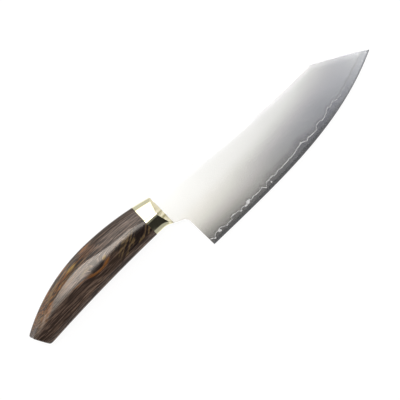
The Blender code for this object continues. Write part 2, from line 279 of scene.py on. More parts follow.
# Soft irregular clouds, from polishing and handling
def makeClouds():
    group, start, end = newGroup("clouds", {"Vector": None, "Size": 12.0, "Sharpness": 0.5}, ["Mask"])
    cloud = addNoise(group, start["Vector"], doMath(group, "DIVIDE", 1.0, start["Size"]), 4.0)
    low = times(group, start["Sharpness"], 0.5)
    high = doMath(group, "SUBTRACT", 1.0, low)
    spread = addNode(group, "MapRange", {"Value": cloud, "From Min": low, "From Max": high})
    feed(group, end["Mask"], spread.outputs[0])
    return group


# How far out each point lies in an ellipsoid, which may lean: 0 at the centre, 1 at the rim
def reachFrom(tree, vector, centre, size, lean=None):
    away = vectorMath(tree, "SUBTRACT", vector, centre)
    if lean is not None:
        inputs = {"Vector": away, "Angle": lean}
        away = addNode(tree, "VectorRotate", inputs, rotation_type="Z_AXIS").outputs[0]
    scaled = vectorMath(tree, "DIVIDE", away, size)
    return addNode(tree, "VectorMath", {0: scaled}, operation="LENGTH").outputs["Value"]


# Makes the rim of a patch ragged, with a noise that swings round 0.5
def raggedReach(tree, reach, noiseValue, amount):
    return plus(tree, reach, times(tree, doMath(tree, "SUBTRACT", noiseValue, 0.5), amount))


grindLines = makeGrindLines()
clouds = makeClouds()


def cloudMask(tree, place, size, sharpness):
    return useGroup(tree, clouds, Vector=place, Size=size, Sharpness=sharpness)["Mask"]


# Blade: a hard steel core between two softer claddings, all three ground together

bladeShape = {
    "edgeRise": 0.0223,  # of the tip above the heel
    "edgeSweepPower": 3.6,
    "spineHeight": 0.0429,
    "spineLevelStart": 0.115,
    "clipStart": 0.128,
    "clipBulge": 0.0005,
    "clipCornerSoftness": 0.0003,
    "heelLean": math.radians(2.2),
    "neckSlope": math.radians(24),
    "neckRadius": 0.0045,
    "neckCornerHeight": 0.0288,  # where the neck's underside meets the bolster
    "stockHalf": 0.0010,
    "clipHalf": 0.00065,
    "coreHalf": 0.0003,
    "weldGap": 0.00002,
    "grindHeight": 0.030,
    "grindGrowth": 0.002,  # how much taller the grind is 100 mm from the heel
    "edgeBevelHeight": 0.0008,
    "edgeBevelHalf": 0.00012,
    "claddingLip": 0.00004,
    "lipBlendHeight": 0.007,
    "spineRounding": 0.00025,
    "softEdge": (0.0045, 0.00003),  # the face falls away gently below the spine: reach and fall
    "tipBlunting": 0.0001,
    "columnPitch": 0.0003,
    "claddingRows": 30,
    "coreRows": 16,
    "bareRows": (0.0, 0.16, 0.5, 0.9, 1.0),  # the core's first rows, as shares of its bare height
    "supportRows": (0.1, 0.25, 0.45, 1.2, 2.3, 3.6),  # rows close under the spine, in mm below it
    "supportRoom": 0.006,  # where the cladding is lower than this, those rows crowd together
    "easeLimit": 0.6,  # share of the cladding's thickness that the spine's rounding may take
}
claddingLine = {
    "kinks": (  # where the grind leaves the cladding: place and height above the edge, in mm
        (0, 4.5), (1.5, 3.7), (3.2, 2.2), (4.5, 4.0), (6, 4.7), (8, 4.8), (10.5, 5.3), (12, 4.8),
        (13, 4.0), (15, 3.1), (16.5, 3.8), (20.2, 3.7), (20.8, 5.4), (22, 5.6), (24, 5.1), (27, 4.8),
        (28.3, 3.5), (29.5, 4.6), (32, 4.6), (33, 3.4), (34.5, 5.2), (36, 5.9), (38, 4.7), (39, 4.3),
        (41, 4.9), (44, 4.5), (47.5, 4.5), (49.2, 5.2), (51.5, 2.7), (53.2, 5.0), (54.5, 5.6),
        (56, 5.2), (57.5, 5.7), (59.6, 5.6), (60.8, 4.7), (63, 4.9), (65, 5.4), (67, 5.0), (74, 5.0),
        (75.8, 5.4), (77, 5.0), (81, 5.1), (83.5, 5.8), (87, 6.0), (88.3, 7.0), (89.6, 6.0), (91, 5.2),
        (92.8, 4.1), (94, 5.2), (97, 4.3), (102.5, 3.9), (103.6, 5.0), (104.2, 6.0), (108, 5.9),
        (109.5, 4.4), (113, 5.2), (115, 5.8), (117, 6.8), (118.3, 6.9), (119.3, 5.6), (121, 6.3),
        (123.3, 6.5), (125, 5.2), (128, 4.6), (130, 4.1), (133, 5.0), (136, 4.4), (140, 5.3),
        (142, 4.5), (148, 5.2), (152, 4.6), (165, 4.8),
    ),
    "ripple": ((0.0021, 0.00022), (0.0008, 0.00012)),  # length and swing of the finer unevenness
    "step": 0.00003,
}
tangShape = {
    "rootHalf": 0.0065,
    "endHalf": 0.0040,
    "endX": buttX + 0.030,
    "columns": 30,
    "crowding": 1.6,  # how much closer its columns lie toward the end
    "stepRun": 0.0002,  # the step to the blade's height
}


def arcDrop(run, radius):
    return radius - math.sqrt(max(radius * radius - run * run, 0.0))


def smoothShare(value, start, end):
    share = min(max((value - start) / (end - start), 0.0), 1.0)
    return share * share * (3 - 2 * share)


def edgeHeight(x):
    return bladeShape["edgeRise"] * (max(x, 0.0) / edgeLength) ** bladeShape["edgeSweepPower"]


# The spine, then the eased corner and the slightly bulged clip down to the tip
def outlineTop(x):
    start, level = bladeShape["clipStart"], bladeShape["spineHeight"]
    soft = bladeShape["clipCornerSoftness"]
    share = max(bladeShape["spineLevelStart"] - x, 0.0) / (bladeShape["spineLevelStart"] - shoulder)
    spine = level + (backHeight(bolsterFront) - level) * share ** 2
    along = (x - start) / (edgeLength - start)
    clip = level - (level - bladeShape["edgeRise"]) * along
    clip += 4 * bladeShape["clipBulge"] * max(along * (1 - along), 0.0)
    return (spine + clip - math.sqrt((spine - clip) ** 2 + soft * soft)) / 2 if x > 0 else spine


def flatHalf(x):
    share = max(x, 0.0) / bladeShape["clipStart"]
    return bladeShape["stockHalf"] - (bladeShape["stockHalf"] - bladeShape["clipHalf"]) * share


# The face's half thickness: the edge's small bevel, the convex grind, then the flat
def groundHalf(x, height):
    bevelHeight, bevelHalf = bladeShape["edgeBevelHeight"], bladeShape["edgeBevelHalf"]
    if height <= bevelHeight:
        return bevelHalf * max(height, 0.0) / bevelHeight
    top = bladeShape["grindHeight"] + bladeShape["grindGrowth"] * (max(x, 0.0) / 0.1) ** 2
    below = max(top - height, 0.0) / (top - bevelHeight)
    return flatHalf(x) - (flatHalf(x) - bevelHalf) * below ** 2


def lineHeight(x):
    kinks = claddingLine["kinks"]
    place = min(max(1000 * x, kinks[0][0]), kinks[-1][0] - 1e-6)
    after = next(index for index, kink in enumerate(kinks) if kink[0] > place)
    (startX, startHeight), (endX, endHeight) = kinks[after - 1], kinks[after]
    height = (startHeight + (endHeight - startHeight) * (place - startX) / (endX - startX)) / 1000
    for length, swing in claddingLine["ripple"]:
        height += swing * noise.noise(Vector((x / length, length * 1000, 0.0)))
    return height


# Half thickness of the core under the cladding: it fits the lip, then eases to its full thickness
def hiddenHalf(x, height, lip):
    under = groundHalf(x, lip) - bladeShape["claddingLip"] - bladeShape["weldGap"]
    share = min(max((height - lip) / bladeShape["lipBlendHeight"], 0.0), 1.0)
    return under + (bladeShape["coreHalf"] - under) * share


def tangHalf(x):
    share = max(bolsterBack - x, 0.0) / (bolsterBack - tangShape["endX"])
    half = tangShape["rootHalf"] + (tangShape["endHalf"] - tangShape["rootHalf"]) * min(share, 1.0)
    fromEnd = x - tangShape["endX"]
    if fromEnd < tangShape["endHalf"]:
        half = math.sqrt(max(tangShape["endHalf"] ** 2 - (tangShape["endHalf"] - fromEnd) ** 2, 0.0))
    return half


def tangSpan(x):
    middle = (backHeight(bolsterFront) + bellyHeight(bolsterFront)) / 2
    return middle - tangHalf(x), middle + tangHalf(x)


# Where the cladding's line runs out into the clip, just behind the tip
def claddingEnd():
    low, high = bladeShape["clipStart"], edgeLength
    for _ in range(40):
        middle = (low + high) / 2
        lip = edgeHeight(middle) + lineHeight(middle) + claddingLine["step"]
        low, high = (middle, high) if outlineTop(middle) - lip > 1e-5 else (low, middle)
    return low


# Columns of a layer: the tang, a step at the shoulder, then an even pitch to the end
def stations(endX):
    start, count = tangShape["endX"], tangShape["columns"]
    tang = [start + (shoulder - start) * (step / count) ** tangShape["crowding"] for step in range(count)]
    pitches = math.ceil((endX - shoulder) / bladeShape["columnPitch"])
    blade = [shoulder + (endX - shoulder) * step / pitches for step in range(pitches + 1)]
    return tang + [shoulder - tangShape["stepRun"]] + blade


# How much the face draws in near the spine: a gentle fall, then the spine's own rounding
def spineEase(distance):
    radius, (reach, fall) = bladeShape["spineRounding"], bladeShape["softEdge"]
    gentle = fall * max(1 - distance / reach, 0.0) ** 2
    return gentle + (arcDrop(radius - distance, radius) if distance < radius else 0.0)


# The rows of a cladding at one station, each as (height over the heel, inner face, outer face)
def claddingRows(x):
    rows = bladeShape["claddingRows"]
    if x < shoulder:
        low, high = tangSpan(x)
        inner, outer = bladeShape["coreHalf"] + bladeShape["weldGap"], bladeShape["stockHalf"]
        return [(low + (high - low) * row / (rows - 1), inner, outer) for row in range(rows)]
    lip, high = lineHeight(x) + claddingLine["step"], outlineTop(x)
    low = min(edgeHeight(x) + lip, high)
    crowd = min((high - low) / bladeShape["supportRoom"], 1.0) / 1000
    supports = [high - distance * crowd for distance in bladeShape["supportRows"]]
    spread = rows - len(supports)
    heights = sorted([low + (high - low) * (row / (spread - 1)) ** 1.5 for row in range(spread)] + supports)
    profile = []
    for y in heights:
        inner = hiddenHalf(x, y - edgeHeight(x), lip) + bladeShape["weldGap"]
        outer = groundHalf(x, y - edgeHeight(x))
        ease = min(spineEase(high - y), bladeShape["easeLimit"] * (outer - inner))
        profile.append((y, inner, outer - ease))
    return profile


# The rows of the core, bare below the line and hidden above it
def coreRows(x):
    rows = bladeShape["coreRows"]
    if x < shoulder:
        low, high = tangSpan(x)
        half = bladeShape["coreHalf"]
        return [(low + (high - low) * row / (rows - 1), -half, half) for row in range(rows)]
    height = outlineTop(x) - edgeHeight(x)
    line = min(lineHeight(x), height)
    lip = min(line + claddingLine["step"], height)
    profile = [(line * share, groundHalf(x, line * share)) for share in bladeShape["bareRows"]]
    rest = rows - len(profile)
    hidden = [lip + (height - lip) * row / (rest - 1) for row in range(rest)]
    if lip > line:
        profile += [(level, hiddenHalf(x, level, lip)) for level in hidden]
    else:
        profile += [(height, groundHalf(x, height))] * len(hidden)
    return [(edgeHeight(x) + level, -half, half) for level, half in profile]


# A grid with one column for each station, extruded to a closed slab and shaped by the rows at each station
def makeSlab(name, columns, rowsAt, side):
    shapes = [rowsAt(x) for x in columns]
    rows = len(shapes[0])
    startFresh()
    bpy.ops.mesh.primitive_grid_add(x_subdivisions=len(columns) - 1, y_subdivisions=rows - 1, size=1)
    piece = nameNew(name)
    openEdit()
    bpy.ops.mesh.select_all(action="SELECT")
    bpy.ops.mesh.extrude_region_move(TRANSFORM_OT_translate={"value": (0, 0, -1)})
    closeEdit()
    for vert in piece.data.vertices:
        column = round((vert.co.x + 0.5) * (len(columns) - 1))
        row = round((vert.co.y + 0.5) * (rows - 1))
        y, inner, outer = shapes[column][row]
        vert.co = columns[column], y, side * (outer if vert.co.z > -0.5 else inner)
    mergeClose(piece)
    return piece


# A cutter for the step between the neck and the heel, with its inner corner rounded
def makeNotch():
    corner, slope = bladeShape["neckCornerHeight"], math.tan(bladeShape["neckSlope"])
    lean = math.tan(bladeShape["heelLean"])
    meetY = (corner + slope * shoulder) / (1 - slope * lean)
    meet = Vector((-lean * meetY, meetY, 0))
    reachLeft, reachDown, size = 0.0004, 0.010, 0.04
    startFresh()
    bpy.ops.mesh.primitive_cube_add(size=size)
    cutter = nameNew("notch")
    openEdit()
    corners = {
        (1, 1): (meet.x, meet.y),
        (1, -1): (lean * reachDown, -reachDown),
        (-1, 1): (shoulder - reachLeft, corner + slope * reachLeft),
        (-1, -1): (shoulder - reachLeft, -reachDown),
    }
    for (sideX, sideY), (x, y) in corners.items():
        pick(lambda vert: vert.co.x * sideX > size / 4 and vert.co.y * sideY > size / 4, "verts")
        bpy.ops.transform.translate(value=(x - sideX * size / 2, y - sideY * size / 2, 0))
    openEdit("EDGE")
    pick(lambda edge: all((vert.co.xy - meet.xy).length < 1e-5 for vert in edge.verts))
    halfAngle = (math.pi / 2 + bladeShape["neckSlope"] + bladeShape["heelLean"]) / 2
    bpy.ops.mesh.bevel(offset=bladeShape["neckRadius"] / math.tan(halfAngle), segments=14)
    closeEdit()
    return cutter


# Gives each point its height above the cladding line, in millimetres, for the steel's finishes
def markLine(piece):
    marks = piece.data.attributes.new("aboveLine", "FLOAT", "POINT")
    for vert, mark in zip(piece.data.vertices, marks.data):
        mark.value = 1000 * (vert.co.y - edgeHeight(vert.co.x) - lineHeight(vert.co.x))


def makeLayer(name, node, endX, rowsAt, side, material):
    piece = makeSlab(name, stations(endX), rowsAt, side)
    cutAway(piece, makeNotch())
    markLine(piece)
    settle(piece, [node], material, 20)


# Steel finishes

steelLook = {
    "cladding": {
        "tones": ((0.61, 0.61, 0.61), (0.64, 0.64, 0.64)),
        "roughness": (0.145, 0.155),
        "fineness": 6.0,  # of the grinding lines
        "run": 0.12,  # how soon they change along their length
        "streakShare": 0.04,  # how much they tint the steel, and to what
        "streakTone": (0.52, 0.52, 0.53),
        "relief": 0.0005,  # how strongly they catch the light
        "mottleSize": 30.0,  # mm, of the clouds that mix the tones
        "lineRoughness": 0.25,  # how much rougher the bright line is
    },
    "core": {
        "tones": ((0.42, 0.42, 0.43), (0.47, 0.47, 0.48)),
        "roughness": (0.14, 0.16),
        "fineness": 9.0,
        "run": 0.4,
        "streakShare": 0.06,
        "streakTone": (0.30, 0.30, 0.31),
        "relief": 0.002,
        "mottleSize": 1.6,
        "lineRoughness": 0.4,
    },
    "stainTone": (0.22, 0.21, 0.20),  # the cladding just above the line
    # painted highlight: this paler core colour at the heel and toward the tip stands in for light
    "paintedEndHighlightTone": (0.57, 0.57, 0.58),  # the core toward the tip
    "lineTone": (0.62, 0.62, 0.63),
    "lineWidth": (0.15, 0.42),  # mm, thinnest and widest
    "lineBreaks": (78.0, 112.0),  # where it starts to break up and where it is at its faintest
    "lineFade": (112, 140),  # where the line dims toward the tip, in mm from the heel
    "spots": (  # bright patches on the line: place, height above the edge and half sizes, in mm
        (9.0, 4.1, 1.3, 1.2), (36.0, 4.7, 2.0, 1.3), (33.3, 4.0, 1.2, 0.7),
        (28.4, 3.9, 0.9, 0.6), (14.8, 3.5, 0.9, 0.5), (3.4, 2.7, 0.7, 0.6),
        (56.4, 3.4, 0.5, 0.5), (22.0, 5.5, 1.2, 0.5), (88.3, 6.4, 0.9, 0.6),
    ),
}


# One bright patch with a ragged rim
def makePatch():
    inputs = {"Vector": None, "Centre": None, "Size": None}
    group, start, end = newGroup("brightPatch", inputs, ["Mask"])
    reach = reachFrom(group, start["Vector"], start["Centre"], start["Size"])
    reach = raggedReach(group, reach, addNoise(group, start["Vector"], 1.1, 3.0), 2.2)
    feed(group, end["Mask"], remap(group, reach, 1.05, 0.65))
    return group


brightPatch = makePatch()


# The bright line and its patches, as a mask for the cladding or for the core
def lineMask(tree, place, along, above, isCladding):
    fine = cloudMask(tree, place, 1.2, 0.6)
    width = remap(tree, fine, 0.0, 1.0, *steelLook["lineWidth"])
    depth = above if isCladding else times(tree, above, -2.2)
    line = remap(tree, doMath(tree, "SUBTRACT", depth, width), 0.06, -0.06)
    for x, height, halfX, halfY in steelLook["spots"]:
        centre = (x, height + 1000 * edgeHeight(x / 1000), 0.5)
        spot = useGroup(tree, brightPatch, Vector=place, Centre=centre, Size=(halfX, halfY, 100.0))["Mask"]
        line = doMath(tree, "MAXIMUM", line, times(tree, spot, 0.6))
    broken = remap(tree, along, *steelLook["lineBreaks"])
    broken = times(tree, broken, remap(tree, fine, 0.2, 0.8, 0.2, 0.8))
    line = doMath(tree, "SUBTRACT", line, times(tree, line, broken))
    return times(tree, line, remap(tree, along, *steelLook["lineFade"], 1.0, 0.25))


# The cladding is stained just above the line, deeper along the middle of the blade
def addStain(tree, place, along, above, colour):
    flecks = cloudMask(tree, place, 0.9, 0.8)
    deeper = times(tree, remap(tree, along, 30.0, 65.0), remap(tree, along, 118.0, 90.0))
    nearLine = remap(tree, times(tree, above, remap(tree, deeper, 0.0, 1.0, 1.0, 0.4)), 2.6, 0.2)
    flecks = plus(tree, flecks, times(tree, deeper, 0.25))
    stain = times(tree, nearLine, remap(tree, flecks, 0.3, 0.8, 0.10, 0.34))
    return mixColours(tree, stain, colour, steelLook["stainTone"])


# Painted highlight: the core's colour is made paler at the heel and toward the tip, standing in for the
# light it catches there
def addPaintedEndHighlight(tree, place, along, above, colour):
    ends = doMath(tree, "MAXIMUM", remap(tree, along, 95.0, 150.0), remap(tree, along, 7.0, 0.0, 0.0, 0.8))
    return mixColours(tree, ends, colour, steelLook["paintedEndHighlightTone"])


def makeSteel(name, kind, addShade):
    look = steelLook[kind]
    material, tree, shader = newMaterial(name, {"Metallic": 1.0})
    place = heelCoordinates(tree)
    along = axes(tree, place)["X"]
    above = addNode(tree, "Attribute", attribute_name="aboveLine").outputs["Fac"]
    lines = useGroup(tree, grindLines, Vector=place, Fineness=look["fineness"], Run=look["run"])
    mottle = cloudMask(tree, place, look["mottleSize"], 0.3)
    colour = mixColours(tree, mottle, *look["tones"])
    streaks = times(tree, lines["Streaks"], look["streakShare"])
    colour = mixColours(tree, streaks, colour, look["streakTone"])
    colour = addShade(tree, place, along, above, colour)
    lit = lineMask(tree, place, along, above, kind == "cladding")
    colour = mixColours(tree, lit, colour, steelLook["lineTone"])
    rough = remap(tree, mottle, 0.0, 1.0, *look["roughness"])
    rough = plus(tree, rough, times(tree, lit, look["lineRoughness"]))
    dress(tree, shader, colour, rough, lines["Height"], look["relief"], 0.00001)
    return material


# Handle and bolster share one section, with a leaf-shaped facet for the palm

handleShape = {
    "crest": handleHigh.y - heel.y,
    "crestX": bolsterBack - 0.041,
    "backRadiusFront": 0.215,
    "backRadiusRear": 0.1365,
    "knuckleHeight": 0.0312,
    "bellyRadius": 1.28,
    "flareDepth": 0.0024,
    "flareLength": 0.0075,
    "swellX": bolsterBack - 0.052,
    "swellHalf": (handleHigh.z - handleLow.z) / 2 + 0.0001,
    "bolsterHalf": 0.0080,
    "buttHalf": 0.0086,
    "backHalf": 0.0023,
    "bellyHalf": 0.0029,
    "backBevel": (0.0026, 0.0020),  # height and width
    "bellyBevel": (0.0025, 0.0020),
    "crown": 0.00035,
    "facetLean": math.radians(4.2),
    "creaseShareFront": 0.404,
    "creaseShareButt": 0.535,
    "creaseRiseX": bolsterBack - 0.055,
    "creaseDip": 0.048,  # how much lower the crease runs at the bolster
    "creaseDipReach": 0.016,
    "leaf": (  # the leaf's share of the side: mm behind the bolster, share
        (0, 0.32), (5, 0.35), (11, 0.40), (25, 0.375), (31, 0.42), (38, 0.515), (45, 0.62), (51, 0.71),
        (58, 0.72), (65, 0.71), (72, 0.67), (78, 0.63), (85, 0.59), (91, 0.60), (98, 0.66), (110, 0.65),
    ),
    "facetShareBolster": 0.21,
    "facetNarrowing": 0.008,  # where the leaf starts to narrow, behind the bolster
    "creaseReach": 0.0010,
    "ringPitch": 0.005,
    "buttSlant": math.radians(28),
    "buttRounding": 0.0011,
    "frontGap": 0.00005,  # to the bolster
    "boreSide": 0.0020,  # room round the tang for the resin
}
bolsterShape = {
    "rings": 9,
    "frontHalf": 0.0022,
    "chamferRun": 0.0039,
    "edgeSoftness": 0.00016,
    "slotRoom": 0.0001,  # on each side of the blade
}


def backHeight(x):
    run = x - handleShape["crestX"]
    radius = handleShape["backRadiusFront" if run > 0 else "backRadiusRear"]
    return handleShape["crest"] - arcDrop(run, radius)


def bellyHeight(x):
    if x <= bolsterBack:
        return handleShape["knuckleHeight"] - arcDrop(bolsterBack - x, handleShape["bellyRadius"])
    into = max(x - (bolsterFront - handleShape["flareLength"]), 0.0) / handleShape["flareLength"]
    return handleShape["knuckleHeight"] - handleShape["flareDepth"] * into ** 2


def halfThickness(x):
    swell, swellX = handleShape["swellHalf"], handleShape["swellX"]
    if x > swellX:
        loss, share = swell - handleShape["bolsterHalf"], (x - swellX) / (bolsterFront - swellX)
    else:
        loss, share = swell - handleShape["buttHalf"], (swellX - x) / (swellX - buttX)
    return swell - loss * share ** 2


def creaseShare(x):
    rise = max(handleShape["creaseRiseX"] - x, 0.0) / (handleShape["creaseRiseX"] - buttX)
    front, butt = handleShape["creaseShareFront"], handleShape["creaseShareButt"]
    dip = smoothShare(x, bolsterBack - handleShape["creaseDipReach"], bolsterBack)
    return front + (butt - front) * (1 - (1 - rise) ** 2) - handleShape["creaseDip"] * dip


# The crease runs level along the bolster
def creaseHeight(x):
    behind = min(x, bolsterBack)
    return bellyHeight(behind) + creaseShare(behind) * (backHeight(behind) - bellyHeight(behind))


def facetShare(x):
    leaf, behind = handleShape["leaf"], min(max(1000 * (bolsterBack - x), 0.0), 109.9)
    after = next(index for index, point in enumerate(leaf) if point[0] > behind)
    (start, first), (stop, last) = leaf[after - 1], leaf[after]
    share = first + (last - first) * (behind - start) / (stop - start)
    narrowing = smoothShare(x, bolsterBack - handleShape["facetNarrowing"], bolsterFront)
    return share + (handleShape["facetShareBolster"] - leaf[0][1]) * narrowing


# Points of the right half, from the middle of the back to the middle of the belly, as (height, half)
def halfSection(x):
    top, bottom, thick = backHeight(x), bellyHeight(x), halfThickness(x)
    scale = thick / handleShape["bolsterHalf"]
    bevel, wide = (size * scale for size in handleShape["backBevel"])
    bellyBevel, bellyWide = (size * scale for size in handleShape["bellyBevel"])
    backHalf, bellyHalf = handleShape["backHalf"] * scale, handleShape["bellyHalf"] * scale
    crease = creaseHeight(x)
    share = facetShare(x)
    facet = share * (top - bevel - crease)
    lean = math.tan(handleShape["facetLean"])
    facetHalf = thick - facet * lean
    bevelHalf = backHalf + wide
    bevelHalf += (facetHalf - bevelHalf) * share ** 3
    reach = min(handleShape["creaseReach"], 0.35 * facet)
    middle = (reach + facet) / 2
    lowerEnd = Vector((bottom + bellyBevel, bellyHalf + bellyWide))
    slope = (lowerEnd - Vector((crease, thick))).normalized()
    below = Vector((crease, thick)) + slope * min(handleShape["creaseReach"], 1.2 * facet)
    facetTop, bevelCorner = Vector((crease + facet, facetHalf)), Vector((top - bevel, bevelHalf))
    return [
        Vector((top, 0)),
        Vector((top - handleShape["crown"], backHalf)),
        bevelCorner,
        (bevelCorner + facetTop) / 2 + Vector((0, 0.00012)),
        facetTop,
        Vector((crease + middle, thick - middle * lean)),
        Vector((crease + reach, thick - reach * lean)),
        below,
        (below + lowerEnd) / 2 + Vector((0, 0.0001)),
        lowerEnd,
        Vector((bottom + handleShape["crown"], bellyHalf)),
        Vector((bottom, 0)),
    ]


sectionCorners = 22  # all round: two halves that share the back's and the belly's middle
# Crease of the edges along each corner
handleSharpness = {1: 0.50, 2: 0.42, 4: 0.60, 9: 0.42, 10: 0.50}
bolsterSharpness = {1: 0.75, 2: 0.42, 4: 0.32, 9: 0.80, 10: 0.75}


def sectionPoint(x, corner):
    half = min(corner, sectionCorners - corner)
    point = halfSection(x)[half]
    return point.x, point.y if corner <= sectionCorners / 2 else -point.y


# The section's corner on a plane that leans back from the handle's back at topX
def leaningPoint(topX, slant, corner):
    x = topX
    for _ in range(8):
        y, z = sectionPoint(x, corner)
        x = topX + math.tan(slant) * (backHeight(topX) - y)
    return Vector((x, y, z))


# A tube of rings, starting as a cylinder along X that is bisected once for each ring
def makeSleeve(name, ringPlaces, ringPoint, sharpness):
    startFresh()
    length = len(ringPlaces) - 1
    bpy.ops.mesh.primitive_cylinder_add(
        vertices=sectionCorners, radius=1, depth=length, end_fill_type="NGON",
        location=(length / 2, 0, 0), rotation=(0, math.pi / 2, 0),
    )
    piece = nameNew(name)
    bpy.ops.object.transform_apply(location=True, rotation=True, scale=True)
    openEdit()
    for ring in range(1, length):
        bpy.ops.mesh.select_all(action="SELECT")
        bpy.ops.mesh.bisect(plane_co=(ring, 0, 0), plane_no=(1, 0, 0))
    openEdit("EDGE")
    turn = 2 * math.pi / sectionCorners

    def cornerOf(vert):
        return round(math.atan2(vert.co.z, vert.co.y) / turn) % sectionCorners

    for corner, value in sharpness.items():
        mirrored = ({corner}, {sectionCorners - corner})
        pick(lambda edge: {cornerOf(vert) for vert in edge.verts} in mirrored)
        bpy.ops.transform.edge_crease(value=value)
    pick(lambda edge: {round(vert.co.x) for vert in edge.verts} in ({0}, {length}))
    bpy.ops.transform.edge_crease(value=1.0)
    closeEdit()
    for vert in piece.data.vertices:
        vert.co = ringPoint(ringPlaces[round(vert.co.x)], cornerOf(vert))
    mergeClose(piece)
    return piece


def makeBolster(material):
    steps, run = bolsterShape["rings"], bolsterFront - bolsterBack
    places = [bolsterBack + run * step / steps for step in range(steps + 1)]

    def ringPoint(x, corner):
        return Vector((x, *sectionPoint(x, corner)))

    bolster = makeSleeve("brass_bolster", places, ringPoint, bolsterSharpness)
    addModifier(bolster, "SUBSURF", levels=3, render_levels=3)
    frontHalf, chamferRun = bolsterShape["frontHalf"], bolsterShape["chamferRun"]
    openEdit("EDGE")
    for side in (1, -1):
        bpy.ops.mesh.select_all(action="SELECT")
        bpy.ops.mesh.bisect(
            plane_co=(bolsterFront, 0, side * frontHalf),
            plane_no=Vector((handleShape["bolsterHalf"] - frontHalf, 0, side * chamferRun)).normalized(),
            clear_outer=True,
        )
        pick(lambda edge: edge.is_boundary)
        bpy.ops.mesh.edge_face_add()
    closeEdit()
    startFresh()
    middle = (backHeight(bolsterFront) + bellyHeight(bolsterFront)) / 2
    bpy.ops.mesh.primitive_cube_add(size=1, location=((bolsterFront + bolsterBack) / 2, middle, 0))
    slot = nameNew("slot")
    thick = 2 * (bladeShape["stockHalf"] + bolsterShape["slotRoom"])
    slot.scale = (2 * run, 2 * (tangShape["rootHalf"] + jointGap), thick)
    cutAway(bolster, slot)
    addModifier(
        bolster, "BEVEL", width=bolsterShape["edgeSoftness"], segments=2, limit_method="ANGLE",
        angle_limit=math.radians(30),
    )
    settle(bolster, ["bolster"], material, 40)
    addModifier(bolster, "WEIGHTED_NORMAL", keep_sharp=True)  # keeps the flats flat in reflections


# The blind bore for the tang and its resin: an upright slot with round ends, tapering with the tang
def makeBore():
    startFresh()
    bpy.ops.mesh.primitive_cylinder_add(vertices=32, radius=1, depth=2, rotation=(0, math.pi / 2, 0))
    bore = nameNew("bore")
    bpy.ops.object.transform_apply(location=True, rotation=True, scale=True)
    half = bladeShape["stockHalf"] + handleShape["boreSide"]
    low, high = tangSpan(bolsterBack)
    for vert in bore.data.vertices:
        isFront = vert.co.x > 0
        tall = tangShape["rootHalf"] if isFront else tangShape["endHalf"]
        straight = tall + handleShape["boreSide"] - half
        straight = math.copysign(straight, vert.co.y) if abs(vert.co.y) > 1e-4 else 0.0
        x = bolsterBack + 0.001 if isFront else tangShape["endX"] - handleShape["boreSide"]
        vert.co = x, (low + high) / 2 + straight + half * vert.co.y, half * vert.co.z
    return bore


def makeHandle(material):
    front, rounding = bolsterBack - handleShape["frontGap"], handleShape["buttRounding"]
    slant = handleShape["buttSlant"]
    steps = math.ceil((front - buttX) / handleShape["ringPitch"])
    rim = buttX + rounding / math.cos(slant)
    places = [front + (rim - front) * step / steps for step in range(steps + 1)]
    places += [buttX + (rim - buttX) * 0.25, buttX]  # two more rings, drawn in, round the rim
    drawnIn = {places[-2]: 0.3 * rounding, places[-1]: rounding}

    def ringPoint(x, corner):
        share = min((front - x) / (front - rim), 1.0)
        point = leaningPoint(x, slant * share ** 2, corner)
        if x not in drawnIn:
            return point
        top, low = leaningPoint(x, slant, 0), leaningPoint(x, slant, sectionCorners // 2)
        middle = (top + low) / 2
        return middle + (point - middle) * (1 - drawnIn[x] / ((top - low).length / 2))

    handle = makeSleeve("wood_handle", places[::-1], ringPoint, handleSharpness)
    addModifier(handle, "SUBSURF", levels=3, render_levels=3)
    cutAway(handle, makeBore())
    settle(handle, ["handle"], material, 60)


# Brass, wood and resin finishes

